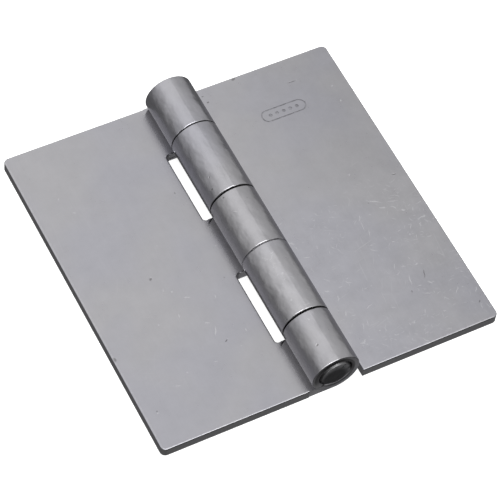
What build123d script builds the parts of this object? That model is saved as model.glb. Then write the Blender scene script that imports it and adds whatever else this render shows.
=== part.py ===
from build123d import *
import math
import os

# A plain weld-on butt hinge, 4 in by 4 in open: two pressed steel leaves with interleaved
# rolled knuckles, turning on one captive pin. It lies open flat with its back faces at z = 0.
# +X runs across the hinge, from the left leaf to the right leaf. +Y runs along the barrel.
# The origin is under the pin axis, halfway along the barrel, on the plane of the back faces.

# Driving dimensions, in millimetres
HINGE_LENGTH = 101.6
LEAF_WIDTH = 50.8            # from the pin axis to the free edge of a leaf
LEAF_THICKNESS = 3.05        # 11 gauge sheet
PIN_DIAMETER = 7.94          # 5/16 in
RUNNING_CLEARANCE = 0.05     # radial, between the pin and a knuckle
CORNER_RADIUS = 1.6          # outer corners of a leaf
UPPER_EDGE_RADIUS = 0.35     # sheared edges, rounded where the shear went in
LOWER_EDGE_RADIUS = 0.05     # and nearly sharp where it came out

# Knuckles: 1, 3 and 5 belong to the left leaf, 2 and 4 to the right leaf
MIDDLE_KNUCKLE_LENGTH = 19.36
OUTER_KNUCKLE_START = 33.64  # inner face of knuckles 1 and 5, from the middle of the barrel
CLOSED_JOINT_GAP = 0.10      # the right leaf has slid along the pin, towards +Y,
OPEN_JOINT_GAP = 0.33        # so every second joint of the barrel is nearly closed
RIM_ROUND = 0.25             # rims of the knuckles at the joints
END_ROUND = 0.5              # rims of the two barrel ends

# Notches that clear the other leaf's knuckles
NOTCH_DEPTH = 8.7            # from the pin axis to the wall of a notch
NOTCH_CORNER_RADIUS = 1.0
STUB_LENGTH = 1.2            # strip between the notch wall and the start of a knuckle

# Rolled ends of the knuckles
CURL_GAP = 0.12              # between the cut end of the curl and the leaf it comes down on
CURL_FLAT = 1.5              # part of the cut end that is pressed parallel to the leaf
CURL_INNER_ANGLE = 50.0      # where the cut end meets the bore, in degrees below level

# Mouth of the bore at the two barrel ends: a rounded lip, then a cone down to the bore
MOUTH_RADIUS = 5.7
MOUTH_ROUND = 0.9
MOUTH_DEPTH = 2.0            # from the end face to the foot of the cone

# Pin: flush with the barrel, each end staked to a chamfered head that fills the mouth,
# and swelled behind the heads to grip knuckles 1 and 5
PIN_LENGTH = 101.6
HEAD_CLEARANCE = 0.08        # between a head and the mouth round it
HEAD_CHAMFER_WIDTH = 0.55    # along the radius
HEAD_CHAMFER_LENGTH = 0.95   # along the pin
SWELL_LENGTH = 12.0
SWELL_TAPER = 1.0            # length over which the swelled part narrows to the pin's own size

# Plain stamped mark on the right leaf: a groove round a row of dots
MARK_CENTRE = (29.0, 34.4)
MARK_LENGTH = 14.0
MARK_HEIGHT = 4.2
MARK_LINE = 0.4
MARK_DEPTH = 0.12
MARK_DOTS = 5
MARK_DOT_DIAMETER = 1.1
MARK_DOT_PITCH = 2.1

# Worked-out dimensions
PIN_RADIUS = PIN_DIAMETER / 2
BORE_RADIUS = PIN_RADIUS + RUNNING_CLEARANCE
KNUCKLE_RADIUS = BORE_RADIUS + LEAF_THICKNESS
AXIS_HEIGHT = KNUCKLE_RADIUS
HALF_LENGTH = HINGE_LENGTH / 2
MOUTH_INNER_RADIUS = MOUTH_RADIUS - MOUTH_ROUND
HEAD_RADIUS = MOUTH_INNER_RADIUS - HEAD_CLEARANCE
STUB_END = NOTCH_DEPTH - STUB_LENGTH
MIDDLE_END = MIDDLE_KNUCKLE_LENGTH / 2

LEFT_KNUCKLES = [
    (-HALF_LENGTH, -OUTER_KNUCKLE_START),
    (-MIDDLE_END, MIDDLE_END),
    (OUTER_KNUCKLE_START, HALF_LENGTH),
]
RIGHT_KNUCKLES = [
    (-OUTER_KNUCKLE_START + OPEN_JOINT_GAP, -MIDDLE_END - CLOSED_JOINT_GAP),
    (MIDDLE_END + OPEN_JOINT_GAP, OUTER_KNUCKLE_START - CLOSED_JOINT_GAP),
]

TOUCH = 0.001                # tolerance for picking an edge by its place


def on_circle(radius, degrees_below_level):
    """A point of a circle round the pin axis, on the left side, as (x, z)."""
    angle = math.radians(degrees_below_level)
    return (-radius * math.cos(angle), AXIS_HEIGHT - radius * math.sin(angle))


def curl_section():
    """The section of a left knuckle: a strip that rolls up, over and down onto its own leaf."""
    landing = LEAF_THICKNESS + CURL_GAP
    outer_angle = math.degrees(math.asin((AXIS_HEIGHT - landing) / KNUCKLE_RADIUS))
    outer_end = on_circle(KNUCKLE_RADIUS, outer_angle)
    flat_end = (outer_end[0] + CURL_FLAT, landing)
    inner_end = on_circle(BORE_RADIUS, CURL_INNER_ANGLE)
    top = (0, AXIS_HEIGHT + KNUCKLE_RADIUS)
    bore_top = (0, AXIS_HEIGHT + BORE_RADIUS)
    outline = [
        Line((-STUB_END, 0), (0, 0)),
        ThreePointArc((0, 0), (KNUCKLE_RADIUS, AXIS_HEIGHT), top),
        ThreePointArc(top, (-KNUCKLE_RADIUS, AXIS_HEIGHT), outer_end),
        Line(outer_end, flat_end),
        Line(flat_end, inner_end),
        ThreePointArc(inner_end, (-BORE_RADIUS, AXIS_HEIGHT), bore_top),
        ThreePointArc(bore_top, (BORE_RADIUS, AXIS_HEIGHT), (0, LEAF_THICKNESS)),
        Line((0, LEAF_THICKNESS), (-STUB_END, LEAF_THICKNESS)),
        Line((-STUB_END, LEAF_THICKNESS), (-STUB_END, 0)),
    ]
    return make_face(outline)


def rim_edges(solid, y, radius):
    """The edges in the plane at y that run round the barrel or straight on from it."""
    edges = solid.edges().filter_by_position(Axis.Y, y - TOUCH, y + TOUCH)
    height = AXIS_HEIGHT - radius
    arcs = edges.filter_by(GeomType.CIRCLE).filter_by(lambda edge: abs(edge.radius - radius) < TOUCH)
    flats = edges.filter_by(GeomType.LINE).filter_by_position(Axis.Z, height - TOUCH, height + TOUCH)
    return arcs + flats


def knuckle(start, end):
    """One left knuckle with its strip, from y = start to y = end, all its rims rounded."""
    section = Plane.XZ * curl_section()
    solid = Pos(0, end, 0) * extrude(section, end - start)
    for y in (start, end):
        outer_round = END_ROUND if abs(y) > HALF_LENGTH - TOUCH else RIM_ROUND
        solid = fillet(rim_edges(solid, y, KNUCKLE_RADIUS), outer_round)
    return solid


def leaf_outline(knuckles):
    """The flat outline of a left leaf: a plate with a short stub for each knuckle."""
    plate_width = LEAF_WIDTH - NOTCH_DEPTH
    plate = Pos(-NOTCH_DEPTH - plate_width / 2, 0) * Rectangle(plate_width, HINGE_LENGTH)
    plate = fillet(plate.vertices().group_by(Axis.X)[0], CORNER_RADIUS)
    for start, end in knuckles:
        middle = Pos(-NOTCH_DEPTH + STUB_LENGTH / 2, (start + end) / 2)
        plate += middle * Rectangle(STUB_LENGTH, end - start)
    notch_corners = [
        vertex for vertex in plate.vertices()
        if abs(vertex.X + NOTCH_DEPTH) < TOUCH and abs(vertex.Y) < HALF_LENGTH - TOUCH
    ]
    return fillet(notch_corners, NOTCH_CORNER_RADIUS)


def sheared_edges(solid, height):
    """The outline edges of a leaf plate at one height, without the ends of its stubs."""
    edges = solid.edges().filter_by_position(Axis.Z, height - TOUCH, height + TOUCH)
    return edges.filter_by(lambda edge: edge.center().X < -STUB_END - TOUCH)


def leaf_plate(knuckles):
    """The flat part of a left leaf, with its sheared edges rounded."""
    solid = extrude(leaf_outline(knuckles), LEAF_THICKNESS)
    solid = fillet(sheared_edges(solid, LEAF_THICKNESS), UPPER_EDGE_RADIUS)
    return fillet(sheared_edges(solid, 0), LOWER_EDGE_RADIUS)


def bore_mouth():
    """The rounded lip and the cone at the far end of the barrel, as a solid to cut away."""
    lip_y = HALF_LENGTH - MOUTH_ROUND
    floor_y = HALF_LENGTH - MOUTH_DEPTH
    profile = [
        Line((0, floor_y), (BORE_RADIUS, floor_y)),
        Line((BORE_RADIUS, floor_y), (MOUTH_INNER_RADIUS, lip_y)),
        CenterArc((MOUTH_RADIUS, lip_y), MOUTH_ROUND, 90, 90),
        Line((MOUTH_RADIUS, HALF_LENGTH), (0, HALF_LENGTH)),
        Line((0, HALF_LENGTH), (0, floor_y)),
    ]
    return Pos(0, 0, AXIS_HEIGHT) * revolve(make_face(profile), Axis.Y)


def leaf(knuckles):
    """A whole leaf in the left leaf's place, as one solid."""
    solid = leaf_plate(knuckles)
    for start, end in knuckles:
        solid += knuckle(start, end)
    return solid


def left_leaf():
    far_mouth = bore_mouth()
    return leaf(LEFT_KNUCKLES) - far_mouth - mirror(far_mouth, Plane.XZ)


def stamped_mark():
    """The plain stamped mark, as a solid to cut away."""
    groove = SlotOverall(MARK_LENGTH, MARK_HEIGHT)
    groove -= SlotOverall(MARK_LENGTH - 2 * MARK_LINE, MARK_HEIGHT - 2 * MARK_LINE)
    dots = GridLocations(MARK_DOT_PITCH, MARK_DOT_PITCH, MARK_DOTS, 1) * Circle(MARK_DOT_DIAMETER / 2)
    place = Pos(*MARK_CENTRE, LEAF_THICKNESS - MARK_DEPTH)
    return place * extrude(groove + dots, LEAF_THICKNESS)


def right_leaf():
    return mirror(leaf(RIGHT_KNUCKLES), Plane.YZ) - stamped_mark()


def hinge_pin():
    """The captive pin: straight through the knuckles, with a swelled and staked head at each end."""
    tip = PIN_LENGTH / 2
    head_base = tip - MOUTH_DEPTH
    swell_start = head_base - SWELL_LENGTH
    profile = make_face(Polyline(
        (0, 0),
        (PIN_RADIUS, 0),
        (PIN_RADIUS, swell_start),
        (BORE_RADIUS, swell_start + SWELL_TAPER),
        (BORE_RADIUS, head_base),
        (HEAD_RADIUS, tip - HEAD_CHAMFER_LENGTH),
        (HEAD_RADIUS - HEAD_CHAMFER_WIDTH, tip),
        (0, tip),
        close=True,
    ))
    half_pin = revolve(profile, Axis.Y)
    return Pos(0, 0, AXIS_HEIGHT) * (half_pin + mirror(half_pin, Plane.XZ))


os.makedirs("parts", exist_ok=True)
export_step(left_leaf(), "parts/left_leaf.step")
export_step(right_leaf(), "parts/right_leaf.step")
export_step(hinge_pin(), "parts/hinge_pin.step")
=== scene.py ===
import math

import bpy
from mathutils import Matrix, Vector

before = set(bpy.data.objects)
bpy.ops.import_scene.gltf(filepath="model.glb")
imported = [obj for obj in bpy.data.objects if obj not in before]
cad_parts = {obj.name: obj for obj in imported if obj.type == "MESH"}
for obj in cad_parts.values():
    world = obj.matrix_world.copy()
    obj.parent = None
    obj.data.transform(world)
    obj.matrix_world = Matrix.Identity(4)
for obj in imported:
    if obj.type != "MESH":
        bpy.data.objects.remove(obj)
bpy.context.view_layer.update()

# Camera: where it stands round the aim point, how it is tilted and its lens
AIM_POINT = Vector((-0.00147, -0.00411, 0.00305))
CAMERA_AZIMUTH = -33.65
CAMERA_ELEVATION = 55.97
CAMERA_ROLL = 7.92
CAMERA_DISTANCE = 0.70825
LENS_MM = 186.45

# The hinge, in millimetres, for patterns that follow its shape
LEAF_TOP = 3.05
AXIS_HEIGHT = 7.07
HALF_SIZE = 50.8
NOTCH_WALL = 8.7
INNER_JOINTS = 9.78
OUTER_JOINTS = 33.52
CLEAN_JOINT = -9.73          # the joint that has worn free of grime
FLANK_TOP = 11.0             # the barrel is smoother from here down
FLANK_FOOT = 6.5
STAMP_TOP = 3.02             # the floor of the stamp lies below this
MOUTH_INSIDE = 4.78          # radius at which the inside of the mouth begins
CHAMFER_RADIUS = 4.1         # where the chamfer of the pin's head begins
MOUTH_SHADE_OFFSET = (-0.5, 0.6)    # from the pin's axis to the middle of the painted shade on the end face round the mouth
PATCH_OFFSET = (-0.4, -1.4)  # and to the middle of the dark patch on the pin's head

# Relief in millimetres: how far a pattern swings each way
WAVES = 0.19
DRAWN_LINES = 0.010
SHEET_CLOUDS = 0.008
SHEET_GRIT = 0.0012
ROLLED_GRAIN = 0.0004
SHEAR_LINES = 0.012
HAMMERING = 0.03
PIN_GRIT = 0.004
TURNING_RINGS = 0.0025
# How far a mark or a worn edge goes down
HAIR_DEPTH = 0.0008
NICK_DEPTH = 0.003
GLINT_DEPTH = 0.006
PIT_DEPTH = 0.06
ROLLED_OVER = 0.02
FAR_RIM_DEPTH = 0.05
# The near rim of a knuckle, and its end face outside a radius, fall away at a slope
LIP_WIDTH = 0.44
LIP_SLOPE = 0.45
END_DOME_RADIUS = 5.4
END_DOME_SLOPE = 0.30

# Steel: linear colours and roughness
SHEET_COLOUR = (0.412, 0.410, 0.444)
SHEET_WARM = (0.422, 0.417, 0.434)
SHEET_ROUGHNESS = 0.30
PIN_ROUGHNESS = 0.42
GRAZING_TINT = (0.75, 0.75, 0.76)
EDGE_COLOUR = (0.385, 0.383, 0.395)
# This dark serves for grime in the joints and the mouth, for the darker stamp floor, and for
# painted shade on the end face round the mouth
GRIME_AND_SHADE_COLOUR = (0.045, 0.043, 0.042)
PIT_COLOUR = (0.10, 0.095, 0.09)
BRIGHT_COLOUR = (0.60, 0.60, 0.62)
PIN_COLOUR = (0.070, 0.070, 0.074)
PIN_WORN_AND_HIGHLIT_COLOUR = (0.36, 0.36, 0.37)
PIN_CHAMFER_COLOUR = (0.25, 0.25, 0.255)

# Marks on the sheet: (x, y, angle in degrees, half length, half width), in millimetres,
# and then the height, for a mark on the barrel
LEFT_PITS = [
    (-30.4, -1.5, 30, 0.55, 0.42),
    (-50.2, -20.5, 90, 0.9, 0.5),
    (-46.9, -39.4, 0, 0.22, 0.18),
    (-20.4, -27.4, 20, 0.7, 0.2),
    (-11.8, 21.4, 0, 0.2, 0.2),
    (-2.9, -44.0, 0, 0.42, 0.30, 13.5),
    (-4.1, 8.7, 20, 0.30, 0.24, 12.8),
]
LEFT_GLINTS = [
    (-27.0, -7.4, 10, 0.35, 0.25),
    (-29.0, -6.2, 60, 0.7, 0.12),
    (-24.0, -10.8, -20, 1.1, 0.16),
    (-28.6, -15.2, 70, 0.8, 0.2),
    (-34.9, -15.6, 40, 0.3, 0.25),
    (-22.7, -20.3, -25, 0.9, 0.14),
    (-21.8, -23.5, 65, 1.6, 0.2),
    (-14.2, -26.6, 80, 0.6, 0.2),
    (-17.0, -13.8, 75, 0.7, 0.18),
    (-47.0, -40.1, 0, 0.3, 0.2),
    (-38.4, -34.8, -25, 1.0, 0.12),
    (-34.5, -32.0, 0, 0.3, 0.2),
    (-26.0, -32.1, -10, 0.7, 0.14),
    (-40.0, 26.6, -40, 0.6, 0.14),
    (-42.2, 32.4, 70, 0.5, 0.14),
    (-1.4, -36.2, -60, 0.5, 0.14, 14.0),
    (-3.4, 3.0, -35, 0.9, 0.14, 13.3),
]
RIGHT_PITS = [
    (10.6, 45.8, 10, 0.42, 0.34),
    (10.2, 48.1, 20, 0.5, 0.22),
    (36.0, 42.6, -8, 1.8, 0.16),
    (21.0, 50.2, 20, 0.8, 0.45),
    (38.7, -30.6, 68, 1.6, 0.12),
    (47.2, 2.2, -20, 0.7, 0.25),
    (32.8, -34.2, 70, 0.5, 0.14),
    (48.2, -44.6, 45, 0.6, 0.14),
    (-5.3, 13.0, 0, 0.36, 0.26, 11.8),
    (-4.5, 16.5, 60, 0.25, 0.16, 12.5),
    (-5.8, -32.6, 0, 0.30, 0.20, 11.2),
]
RIGHT_GLINTS = [
    (35.4, 7.1, 30, 0.35, 0.25),
    (37.4, -3.8, -30, 2.5, 0.16),
    (42.4, -5.8, -14, 1.8, 0.12),
    (30.6, -9.8, 80, 2.2, 0.10),
    (31.2, -12.6, 72, 1.6, 0.10),
    (45.6, 31.0, 60, 0.45, 0.28),
    (45.8, 36.6, 0, 0.4, 0.25),
    (39.2, -15.2, 20, 0.8, 0.12),
    (41.4, -17.6, 0, 0.35, 0.3),
    (36.0, -17.9, -40, 0.7, 0.14),
    (29.8, -16.4, 0, 0.6, 0.2),
    (34.6, -26.2, -15, 0.8, 0.14),
    (38.2, -27.0, 10, 0.7, 0.2),
    (34.2, -30.6, 75, 2.0, 0.16),
    (32.2, -27.6, 35, 0.9, 0.12),
    (36.6, -36.6, -28, 1.9, 0.12),
    (19.8, -33.6, 18, 1.8, 0.12),
    (13.2, -21.6, -48, 1.2, 0.12),
    (12.8, -33.2, 70, 1.2, 0.14),
    (15.2, -38.6, 65, 1.3, 0.12),
    (16.8, -38.2, 75, 1.2, 0.10),
    (18.6, -41.6, 0, 0.35, 0.25),
    (32.9, -41.4, 60, 0.9, 0.12),
    (48.4, -34.2, -35, 0.6, 0.12),
    (25.6, -36.6, -20, 0.8, 0.14),
    (21.0, -12.6, 60, 0.8, 0.12),
    (11.6, -12.6, -20, 1.1, 0.12),
    (15.8, -10.8, 55, 0.6, 0.14),
    (-1.0, -20.5, 0, 0.32, 0.26, 14.1),
    (-2.5, -28.8, 30, 0.40, 0.24, 13.7),
    (-1.6, -22.4, 75, 0.6, 0.10, 13.9),
]


class Graph:
    """Builds a shader node tree: every method returns a socket that the next one can take."""

    def __init__(self, tree):
        self.tree = tree

    def node(self, kind, **settings):
        node = self.tree.nodes.new(kind)
        for name, value in settings.items():
            setattr(node, name, value)
        return node

    def put(self, socket, value):
        if isinstance(value, bpy.types.NodeSocket):
            self.tree.links.new(value, socket)
        elif isinstance(value, (tuple, Vector)) and len(value) == 3 and socket.type == "RGBA":
            socket.default_value = (*value, 1)
        else:
            socket.default_value = value

    def math(self, operation, a, b=0.0, clamp=False):
        node = self.node("ShaderNodeMath", operation=operation, use_clamp=clamp)
        self.put(node.inputs[0], a)
        self.put(node.inputs[1], b)
        return node.outputs[0]

    def add(self, a, b):
        return self.math("ADD", a, b)

    def sub(self, a, b):
        return self.math("SUBTRACT", a, b)

    def mul(self, a, b):
        return self.math("MULTIPLY", a, b)

    def total(self, *values):
        result = values[0]
        for value in values[1:]:
            result = self.add(result, value)
        return result

    def distance(self, a, b):
        """How far a point (a, b) is from zero."""
        return self.math("POWER", self.add(self.mul(a, a), self.mul(b, b)), 0.5)

    def highest(self, *values):
        result = values[0]
        for value in values[1:]:
            result = self.math("MAXIMUM", result, value)
        return result

    def lowest(self, *values):
        result = values[0]
        for value in values[1:]:
            result = self.math("MINIMUM", result, value)
        return result

    def size(self, a):
        return self.math("ABSOLUTE", a)

    def fade(self, value, at_zero, at_one):
        """0 at one value and 1 at the other, eased in between."""
        node = self.node("ShaderNodeMapRange", interpolation_type="SMOOTHSTEP")
        low, high, flip = (at_zero, at_one, False) if at_zero < at_one else (at_one, at_zero, True)
        for name, setting in (("Value", value), ("From Min", low), ("From Max", high)):
            self.put(node.inputs[name], setting)
        self.put(node.inputs["To Min"], 1.0 if flip else 0.0)
        self.put(node.inputs["To Max"], 0.0 if flip else 1.0)
        return node.outputs["Result"]

    def vector(self, operation, a, b=None):
        node = self.node("ShaderNodeVectorMath", operation=operation)
        self.put(node.inputs[0], a)
        if b is not None:
            self.put(node.inputs[1], b)
        return node.outputs["Value" if operation == "DOT_PRODUCT" else "Vector"]

    def split(self, vector):
        node = self.node("ShaderNodeSeparateXYZ")
        self.put(node.inputs[0], vector)
        return node.outputs[0], node.outputs[1], node.outputs[2]

    def join(self, x, y, z):
        node = self.node("ShaderNodeCombineXYZ")
        for socket, value in zip(node.inputs, (x, y, z)):
            self.put(socket, value)
        return node.outputs[0]

    def noise(self, vector, period, detail=2.0, roughness=0.5):
        """Smooth noise around 0.5, with features about one period across, in millimetres."""
        node = self.node("ShaderNodeTexNoise")
        self.put(node.inputs["Vector"], vector)
        self.put(node.inputs["Scale"], 1.0 / period)
        self.put(node.inputs["Detail"], detail)
        self.put(node.inputs["Roughness"], roughness)
        return node.outputs["Fac"]

    def signed(self, noise, amount):
        """Noise moved to swing either side of zero, amount each way."""
        return self.mul(self.sub(noise, 0.5), 2.0 * amount)

    def wandering(self, vector, source, periods, amount):
        """The vector pushed about in the sheet's plane, by a noise along X and one along Y."""
        x_push, y_push = [self.signed(self.noise(source, period), 1.0) for period in periods]
        return self.vector("ADD", vector, self.shade(self.join(x_push, y_push, 0.0), amount))

    def cone(self, direction, axis, outer, inner):
        """1 within the inner angle of an axis and 0 beyond the outer, in degrees."""
        along_axis = self.vector("DOT_PRODUCT", direction, axis.normalized())
        return self.fade(along_axis, math.cos(math.radians(outer)), math.cos(math.radians(inner)))

    def cells(self, vector, period):
        """Distance in millimetres to one random point per cell, and a random value per cell."""
        node = self.node("ShaderNodeTexVoronoi", feature="F1")
        self.put(node.inputs["Vector"], vector)
        self.put(node.inputs["Scale"], 1.0 / period)
        chance = self.split(node.outputs["Color"])[0]
        return self.mul(node.outputs["Distance"], period), chance

    def turned(self, vector, angle, stretch, offset):
        """The pattern space turned in the sheet's plane, stretched along its own x, and moved."""
        node = self.node("ShaderNodeMapping", vector_type="TEXTURE")
        self.put(node.inputs["Vector"], vector)
        node.inputs["Location"].default_value = offset
        node.inputs["Rotation"].default_value = (0, 0, math.radians(angle))
        node.inputs["Scale"].default_value = (stretch, 1, 1)
        return node.outputs[0]

    def spindle(self, vector, x, y, angle, half_length, half_width, height=LEAF_TOP):
        """A soft mark that is 1 in the middle and 0 at its outline, a few millimetres deep."""
        node = self.node("ShaderNodeMapping", vector_type="TEXTURE")
        self.put(node.inputs["Vector"], vector)
        node.inputs["Location"].default_value = (x, y, height)
        node.inputs["Rotation"].default_value = (0, 0, math.radians(angle))
        node.inputs["Scale"].default_value = (half_length, half_width, 4.0)
        gradient = self.node("ShaderNodeTexGradient", gradient_type="SPHERICAL")
        self.put(gradient.inputs["Vector"], node.outputs[0])
        return gradient.outputs["Fac"]

    def marks(self, vector, table):
        return self.highest(*[self.spindle(vector, *row) for row in table])

    def mix(self, factor, a, b):
        node = self.node("ShaderNodeMix", data_type="RGBA")
        sockets = [socket for socket in node.inputs if socket.type == "RGBA"]
        self.put(node.inputs["Factor"], factor)
        self.put(sockets[0], a)
        self.put(sockets[1], b)
        return node.outputs["Result"]

    def shade(self, colour, factor):
        """A colour made lighter or darker by a factor."""
        node = self.node("ShaderNodeVectorMath", operation="SCALE")
        self.put(node.inputs[0], colour)
        self.put(node.inputs["Scale"], factor)
        return node.outputs[0]


def new_graph(name):
    material = bpy.data.materials.new(name)
    material.use_nodes = True
    return material, Graph(material.node_tree), material.node_tree.nodes["Principled BSDF"]


def finish_steel(graph, shader, colour, roughness, height):
    """Connects the colour, the roughness and a height in millimetres to the shader."""
    bump = graph.node("ShaderNodeBump")
    bump.inputs["Distance"].default_value = 0.001
    graph.put(bump.inputs["Height"], height)
    graph.put(shader.inputs["Normal"], bump.outputs["Normal"])
    graph.put(shader.inputs["Base Color"], colour)
    graph.put(shader.inputs["Roughness"], roughness)
    shader.inputs["Metallic"].default_value = 1.0
    shader.inputs["Specular Tint"].default_value = (*GRAZING_TINT, 1)


def hinge_space(graph):
    """The texture coordinates, the place in millimetres, its x, y and z, and the pin radius."""
    coords = graph.node("ShaderNodeTexCoord")
    place = graph.vector("MULTIPLY", coords.outputs["Object"], (1000, 1000, 1000))
    x, y, z = graph.split(place)
    return coords, place, x, y, z, graph.distance(x, graph.sub(z, AXIS_HEIGHT))


class LeafSteel:
    """Satin sheet steel for one leaf with its knuckles.

    notched_inside says whether the notches are the two between the joints or the other three.
    near_rims and far_rims are where its knuckles begin and end in the barrel, along Y.
    One argument says how much darker the sheet is painted towards its free edge, a painted shade
    for the light falling off across it, and scuffed, from 0 to 1, how much its near half has been
    scratched.
    """

    def __init__(self, name, notched_inside, near_rims, far_rims, pits, glints, painted_falloff, scuffed,
                 seed):
        self.material, self.graph, shader = new_graph(name)
        self.find_places(notched_inside, near_rims, far_rims)
        self.scuff = self.graph.mul(self.graph.fade(self.y, 12.0, -8.0), scuffed)
        self.draw_grain(seed)
        self.draw_marks(pits, glints, seed)
        finish_steel(self.graph, shader, self.colour(painted_falloff), self.roughness(), self.height())

    def find_places(self, notched_inside, near_rims, far_rims):
        """Masks for the parts of the surface, and distances to its edges and rims."""
        graph = self.graph
        coords, self.place, x, y, z, radius = hinge_space(graph)
        _, normal_y, normal_z = graph.split(coords.outputs["Normal"])
        side_on = graph.size(normal_z)
        end_on = graph.size(normal_y)
        across, along = graph.size(x), graph.size(y)
        self.y, self.z, self.across, self.radius = y, z, across, radius

        on_leaf = graph.fade(across, 7.4, 8.4)
        off_leaf = graph.sub(1.0, on_leaf)
        self.on_barrel = graph.mul(off_leaf, graph.fade(radius, 6.9, 7.0))
        self.flat = graph.mul(on_leaf, graph.fade(side_on, 0.8, 0.97))
        self.sheared = graph.mul(on_leaf, graph.fade(side_on, 0.6, 0.3))
        self.knuckle_end = graph.mul(off_leaf, graph.fade(end_on, 0.5, 0.85))
        self.in_mouth = graph.mul(off_leaf, graph.fade(radius, MOUTH_INSIDE, MOUTH_INSIDE - 0.18))

        facing_joint = graph.mul(graph.fade(radius, 7.4, 7.1), graph.fade(end_on, 0.45, 0.75))
        not_clean = graph.fade(graph.size(graph.sub(y, CLEAN_JOINT)), 0.5, 0.8)
        self.in_joint = graph.mul(graph.mul(facing_joint, graph.fade(along, 48, 46)), not_clean)
        below_top = graph.mul(graph.fade(z, STAMP_TOP, STAMP_TOP - 0.06), graph.fade(z, 2.0, 2.5))
        self.stamped = graph.mul(self.flat, below_top)
        # The upper part of the end face round the mouth is painted dark: painted shade for the dark
        # reflection that falls there
        from_mouth_shade = graph.distance(
            graph.sub(x, MOUTH_SHADE_OFFSET[0]), graph.sub(z, AXIS_HEIGHT + MOUTH_SHADE_OFFSET[1]))
        self.painted_shade_at_mouth = graph.mul(
            graph.mul(graph.fade(along, 48.5, 49.0), graph.fade(from_mouth_shade, 6.30, 5.85)),
            graph.fade(z, AXIS_HEIGHT - 3.5, AXIS_HEIGHT))

        by_notch = graph.mul(graph.fade(along, INNER_JOINTS - 0.1, INNER_JOINTS + 0.1),
                             graph.fade(along, OUTER_JOINTS + 0.1, OUTER_JOINTS - 0.1))
        beside_notch = by_notch if notched_inside else graph.sub(1.0, by_notch)
        far_off = graph.mul(graph.sub(1.0, beside_notch), 50.0)
        to_notch = graph.add(graph.sub(across, NOTCH_WALL), far_off)
        self.to_edge = graph.lowest(
            graph.sub(HALF_SIZE, across), graph.sub(HALF_SIZE, along), to_notch)
        self.to_near_rim = graph.lowest(*[graph.size(graph.sub(y, rim)) for rim in near_rims])
        self.to_far_rim = graph.lowest(*[graph.size(graph.sub(y, rim)) for rim in far_rims])

    def draw_grain(self, seed):
        """Patterns that cover the whole surface."""
        graph = self.graph
        self.pattern = graph.vector("ADD", self.place, (seed, 2.3 * seed, 0))
        pattern = self.pattern
        stretched = graph.turned(pattern, 90.0, 24.0, (0, 0, 0))
        waves = graph.vector("MULTIPLY", pattern, (1, 0.75, 1))
        drawn = graph.vector("MULTIPLY", pattern, (1, 0.12, 1))
        shear = graph.vector("MULTIPLY", pattern, (1, 1, 0.12))
        self.tone = graph.noise(pattern, 26.0)
        self.cloud = graph.noise(pattern, 5.0, detail=3.0, roughness=0.6)
        self.mottle = graph.noise(pattern, 1.1, detail=3.0, roughness=0.65)
        self.rolled = graph.noise(stretched, 0.45)
        self.wave = graph.noise(waves, 3.4, roughness=0.40)
        self.drawn = graph.noise(drawn, 1.6)
        self.shear_lines = graph.noise(shear, 0.35, detail=3.0, roughness=0.7)

    def draw_marks(self, pits, glints, seed):
        """Scratches, nicks, pits and specks: each is 1 inside and 0 outside."""
        graph, pattern = self.graph, self.pattern
        wander = graph.wandering(self.place, pattern, (1.6, 1.3), 0.35)
        self.pit = graph.math("MULTIPLY", graph.marks(wander, pits), 2.2, clamp=True)
        self.glint = graph.math("MULTIPLY", graph.marks(wander, glints), 1.8, clamp=True)

        hair = graph.highest(*[
            graph.fade(graph.noise(
                graph.turned(pattern, angle, 26.0, (seed * 3, angle, 0)), 0.5, 1.0), 0.70, 0.76)
            for angle in (62.0, -28.0, 14.0, 83.0)
        ])
        self.hair = graph.mul(hair, graph.fade(graph.noise(pattern, 13.0), 0.46, 0.62))
        bent = graph.wandering(pattern, pattern, (2.6, 2.2), 1.2)
        nick = graph.highest(*[
            graph.fade(graph.noise(
                graph.turned(bent, angle, 7.0, (angle, seed, 0)), 0.42, 1.0), 0.70, 0.78)
            for angle in (8.0, -24.0, 66.0, -52.0)
        ])
        self.nick = graph.mul(nick, graph.fade(graph.noise(pattern, 6.0), 0.42, 0.55))

        distance, chance = graph.cells(pattern, 7.0)
        dot = graph.fade(distance, 0.32, 0.14)
        self.dark_dot = graph.mul(dot, graph.fade(chance, 0.72, 0.73))
        self.light_dot = graph.mul(dot, graph.fade(chance, 0.24, 0.23))

    def colour(self, painted_falloff):
        graph = self.graph
        colour = graph.mix(graph.fade(self.tone, 0.35, 0.65), SHEET_COLOUR, SHEET_WARM)
        colour = graph.shade(colour, self.brightness(painted_falloff))
        rubbed = graph.mul(
            graph.mul(graph.fade(self.to_edge, 0.9, 0.0), self.flat),
            graph.fade(self.mottle, 0.35, 0.6))
        glint_seen = graph.mul(self.glint, graph.highest(self.flat, self.on_barrel))
        # the floor of the stamp is made darker, in mottled patches
        stamp_darkening = graph.mul(self.stamped, graph.fade(self.mottle, 0.25, 0.7))
        shear_level = graph.add(1.0, graph.signed(self.shear_lines, 0.14))
        for amount, paint in (
            (graph.mul(self.hair, graph.add(0.08, graph.mul(self.scuff, 0.15))), BRIGHT_COLOUR),
            (graph.mul(self.nick, graph.add(0.05, graph.mul(self.scuff, 0.50))), BRIGHT_COLOUR),
            (graph.mul(self.light_dot, 0.35), BRIGHT_COLOUR),
            (graph.mul(glint_seen, 0.60), BRIGHT_COLOUR),
            (graph.mul(self.dark_dot, 0.30), PIT_COLOUR),
            (graph.mul(self.pit, 0.5), PIT_COLOUR),
            (graph.mul(rubbed, 0.30), BRIGHT_COLOUR),
            (self.sheared, graph.shade(EDGE_COLOUR, shear_level)),
            (graph.mul(stamp_darkening, 0.45), GRIME_AND_SHADE_COLOUR),
            # painted shade on the upper end face round the mouth
            (graph.mul(self.painted_shade_at_mouth, 0.65), GRIME_AND_SHADE_COLOUR),
            (graph.mul(graph.highest(self.in_joint, self.in_mouth), 0.9), GRIME_AND_SHADE_COLOUR),
        ):
            colour = graph.mix(amount, colour, paint)
        return colour

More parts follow.
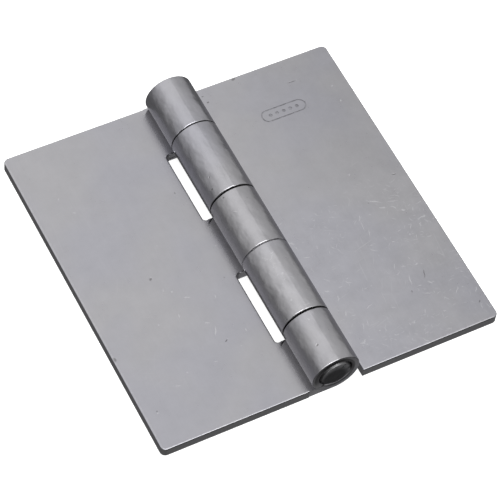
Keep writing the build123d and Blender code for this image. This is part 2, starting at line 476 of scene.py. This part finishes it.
    def brightness(self, painted_falloff):
        """How much lighter or darker than its own colour the sheet is, around 1."""
        graph = self.graph
        variation = graph.total(
            graph.signed(self.tone, 0.035),
            graph.signed(self.cloud, 0.07),
            graph.signed(self.mottle, 0.022),
            graph.signed(self.rolled, 0.018))
        variation = graph.mul(variation, graph.add(1.0, graph.mul(self.scuff, 0.5)))
        # painted shade: the sheet is painted darker towards its free edge, for the light falling
        # off across it
        falloff_darkening = graph.mul(graph.fade(self.across, 6.0, 52.0), painted_falloff)
        return graph.sub(graph.total(1.0, variation, graph.mul(self.scuff, 0.04)), falloff_darkening)

    def roughness(self):
        graph = self.graph
        burnished = graph.mul(self.on_barrel, graph.fade(self.z, 8.0, 6.0))
        roughness = graph.total(
            SHEET_ROUGHNESS,
            graph.signed(self.cloud, 0.03),
            graph.signed(self.mottle, 0.05),
            graph.mul(self.sheared, 0.08),
            graph.mul(self.knuckle_end, 0.04),
            graph.mul(burnished, -0.13),
            graph.mul(self.pit, 0.2))
        return graph.math("SUBTRACT", roughness, graph.mul(self.glint, 0.05), clamp=True)

    def height(self):
        """Height of the surface in millimetres, for the bump."""
        graph = self.graph
        roll_over = graph.math("POWER", graph.fade(self.to_edge, 0.8, 0.0), 2.0)
        domed = graph.math("MAXIMUM", graph.sub(self.radius, END_DOME_RADIUS), 0.0)
        return graph.total(
            graph.mul(self.on_barrel, self.barrel_height()),
            graph.mul(self.flat, graph.signed(self.cloud, SHEET_CLOUDS)),
            graph.signed(self.mottle, SHEET_GRIT),
            graph.signed(self.rolled, ROLLED_GRAIN),
            graph.mul(self.sheared, graph.signed(self.shear_lines, SHEAR_LINES)),
            graph.mul(self.hair, -HAIR_DEPTH),
            graph.mul(graph.mul(self.nick, self.scuff), -NICK_DEPTH),
            graph.mul(self.glint, -GLINT_DEPTH),
            graph.mul(self.pit, -PIT_DEPTH),
            graph.mul(graph.mul(self.flat, roll_over), -ROLLED_OVER),
            graph.mul(graph.mul(self.knuckle_end, domed), -END_DOME_SLOPE))

    def barrel_height(self):
        """Waves from rolling the sheet by hand, and worn rims at the joints."""
        graph = self.graph
        calm = graph.mul(graph.fade(self.z, FLANK_TOP, FLANK_FOOT), 0.85)
        waves = graph.mul(graph.signed(self.wave, WAVES), graph.sub(1.0, calm))
        lip = graph.math("MAXIMUM", graph.sub(LIP_WIDTH, self.to_near_rim), 0.0)
        broken = graph.fade(graph.noise(self.pattern, 2.4, 1.0), 0.25, 0.55)
        rolled_in = graph.math("POWER", graph.fade(self.to_far_rim, 0.5, 0.0), 2.0)
        worn_rims = graph.add(
            graph.mul(graph.mul(lip, broken), LIP_SLOPE), graph.mul(rolled_in, FAR_RIM_DEPTH))
        return graph.sub(graph.add(waves, graph.signed(self.drawn, DRAWN_LINES)), worn_rims)


def pin_steel():
    """Dark, oily bar steel, turned at its ends and rubbed bright on their chamfers, with painted
    shade on the upper left of each chamfer.
    """
    material, graph, shader = new_graph("pin_steel")
    _, place, x, _, z, radius = hinge_space(graph)
    above_axis = graph.sub(z, AXIS_HEIGHT)
    blotch = graph.noise(place, 1.6, detail=3.0, roughness=0.6)
    grit = graph.noise(place, 0.4, roughness=0.6)
    hammered = graph.noise(place, 1.2, detail=1.0)

    from_patch = graph.distance(
        graph.sub(x, PATCH_OFFSET[0]), graph.sub(above_axis, PATCH_OFFSET[1]))
    # Lighter away from a dark middle on the pin's head: partly worn metal, partly a painted
    # highlight on the lower part of the head
    worn_and_highlit = graph.mul(graph.fade(from_patch, 2.8, 5.2), graph.fade(blotch, 0.25, 0.50))
    # The chamfer is painted darker towards its upper left: painted shade where its highlight falls
    # off
    upper_left = graph.add(graph.mul(x, -0.77), graph.mul(above_axis, 0.64))
    painted_shade_upper_left = graph.mul(graph.fade(upper_left, 2.9, 3.8), 0.55)
    chamfer = graph.shade(PIN_CHAMFER_COLOUR, graph.sub(1.0, painted_shade_upper_left))
    colour = graph.shade(PIN_COLOUR, graph.add(1.0, graph.signed(blotch, 0.30)))
    colour = graph.mix(worn_and_highlit, colour, PIN_WORN_AND_HIGHLIT_COLOUR)
    colour = graph.mix(graph.fade(radius, CHAMFER_RADIUS, CHAMFER_RADIUS + 0.15), colour, chamfer)

    roughness = graph.add(PIN_ROUGHNESS, graph.signed(grit, 0.10))
    turning_rings = graph.math("SINE", graph.mul(radius, 14.0))
    height = graph.total(
        graph.mul(turning_rings, TURNING_RINGS),
        graph.signed(hammered, HAMMERING),
        graph.signed(grit, PIN_GRIT))
    finish_steel(graph, shader, colour, roughness, height)
    return material


def clad(node, material):
    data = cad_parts[node].data
    data.materials.clear()
    data.materials.append(material)


def add_floor():
    """A pale floor that stays out of the steel's reflections, as under a cut-out product shot."""
    bpy.ops.mesh.primitive_plane_add(size=20, location=(0, 0, -0.0002))
    floor = bpy.context.object
    floor.name = "floor"
    material, _, shader = new_graph("floor_white")
    shader.inputs["Base Color"].default_value = (0.8, 0.8, 0.8, 1)
    shader.inputs["Roughness"].default_value = 1.0
    shader.inputs["Specular IOR Level"].default_value = 0.0
    shader.inputs["Emission Color"].default_value = (1, 1, 1, 1)
    shader.inputs["Emission Strength"].default_value = 0.75
    floor.data.materials.append(material)
    floor.visible_glossy = False


# Studio light: brightness by angle round the barrel, from straight up (0) towards +X (positive)
SKY = [(-180, 0.17), (-160, 0.19), (-125, 0.17), (-96, 0.16), (-84, 0.38), (-60, 0.60), (-38, 0.96),
       (-8, 1.18), (16, 1.06), (27, 0.79), (48, 0.70), (84, 0.58), (96, 0.16), (125, 0.20),
       (160, 0.24), (180, 0.17)]
# Patches on it: direction, the angles in degrees at which each fades out and is full, strength
FRONT_LIGHT = (Vector((-0.05, -0.37, 0.92)), 19, 5, 3.6)
LOW_LIGHT = (Vector((0.31, 0.10, -0.95)), 28, 8, 0.14)
FRONT_DARK = (Vector((0.12, -0.98, 0.06)), 50, 35, 0.92)
FRONT_LIGHT_SQUASH = (0.5, 1.0, 1.0)  # makes the front light twice as wide across the barrel


def sky_level(graph, direction):
    """Brightness of the studio in a direction, from the table round the barrel."""
    x, _, z = graph.split(direction)
    angle = graph.math("ARCTAN2", x, z)
    ramp = graph.node("ShaderNodeValToRGB")
    graph.put(ramp.inputs["Fac"], graph.add(graph.mul(angle, 0.5 / math.pi), 0.5))
    stops = ramp.color_ramp.elements
    for degrees, _ in SKY[1:-1]:
        stops.new(degrees / 360 + 0.5)
    for stop, (_, level) in zip(stops, SKY):
        stop.color = (level, level, level, 1)
    return graph.split(ramp.outputs["Color"])[0]


def patch(graph, direction, axis, outer, inner, strength):
    return graph.mul(graph.cone(direction, axis, outer, inner), strength)


def world_light():
    world = bpy.data.worlds.new("studio")
    bpy.context.scene.world = world
    world.use_nodes = True
    graph = Graph(world.node_tree)
    background = world.node_tree.nodes["Background"]
    direction = graph.node("ShaderNodeTexCoord").outputs["Generated"]
    squashed = graph.vector("NORMALIZE", graph.vector("MULTIPLY", direction, FRONT_LIGHT_SQUASH))
    level = graph.total(
        sky_level(graph, direction),
        patch(graph, squashed, *FRONT_LIGHT),
        patch(graph, direction, *LOW_LIGHT))
    level = graph.mul(level, graph.sub(1.0, patch(graph, direction, *FRONT_DARK)))
    graph.put(background.inputs["Color"], graph.join(level, level, level))


def add_camera():
    """A long lens, looking down at the hinge from its near left corner."""
    azimuth = math.radians(CAMERA_AZIMUTH)
    elevation = math.radians(CAMERA_ELEVATION)
    roll = math.radians(CAMERA_ROLL)
    back = Vector((
        math.sin(azimuth) * math.cos(elevation),
        -math.cos(azimuth) * math.cos(elevation),
        math.sin(elevation),
    ))
    level_right = Vector((0, 0, 1)).cross(back).normalized()
    level_up = back.cross(level_right)
    right = level_right * math.cos(roll) + level_up * math.sin(roll)
    up = back.cross(right)
    camera = bpy.data.objects.new("camera", bpy.data.cameras.new("camera"))
    bpy.context.scene.collection.objects.link(camera)
    rotation = Matrix((right, up, back)).transposed().to_4x4()
    camera.matrix_world = Matrix.Translation(AIM_POINT + back * CAMERA_DISTANCE) @ rotation
    camera.data.lens = LENS_MM
    camera.data.clip_start = 0.01
    camera.data.clip_end = 100
    bpy.context.scene.camera = camera


left_steel = LeafSteel(
    "left_leaf_steel", notched_inside=True, near_rims=(-9.68, 33.64), far_rims=(-33.64, 9.68),
    pits=LEFT_PITS, glints=LEFT_GLINTS, painted_falloff=0.0, scuffed=0.0, seed=11.0)
right_steel = LeafSteel(
    "right_leaf_steel", notched_inside=False, near_rims=(-33.31, 10.01), far_rims=(-9.78, 33.54),
    pits=RIGHT_PITS, glints=RIGHT_GLINTS, painted_falloff=0.125, scuffed=1.0, seed=47.0)
clad("left_leaf", left_steel.material)
clad("right_leaf", right_steel.material)
clad("hinge_pin", pin_steel())

add_floor()
world_light()
add_camera()
bpy.context.scene.view_settings.view_transform = "Standard"
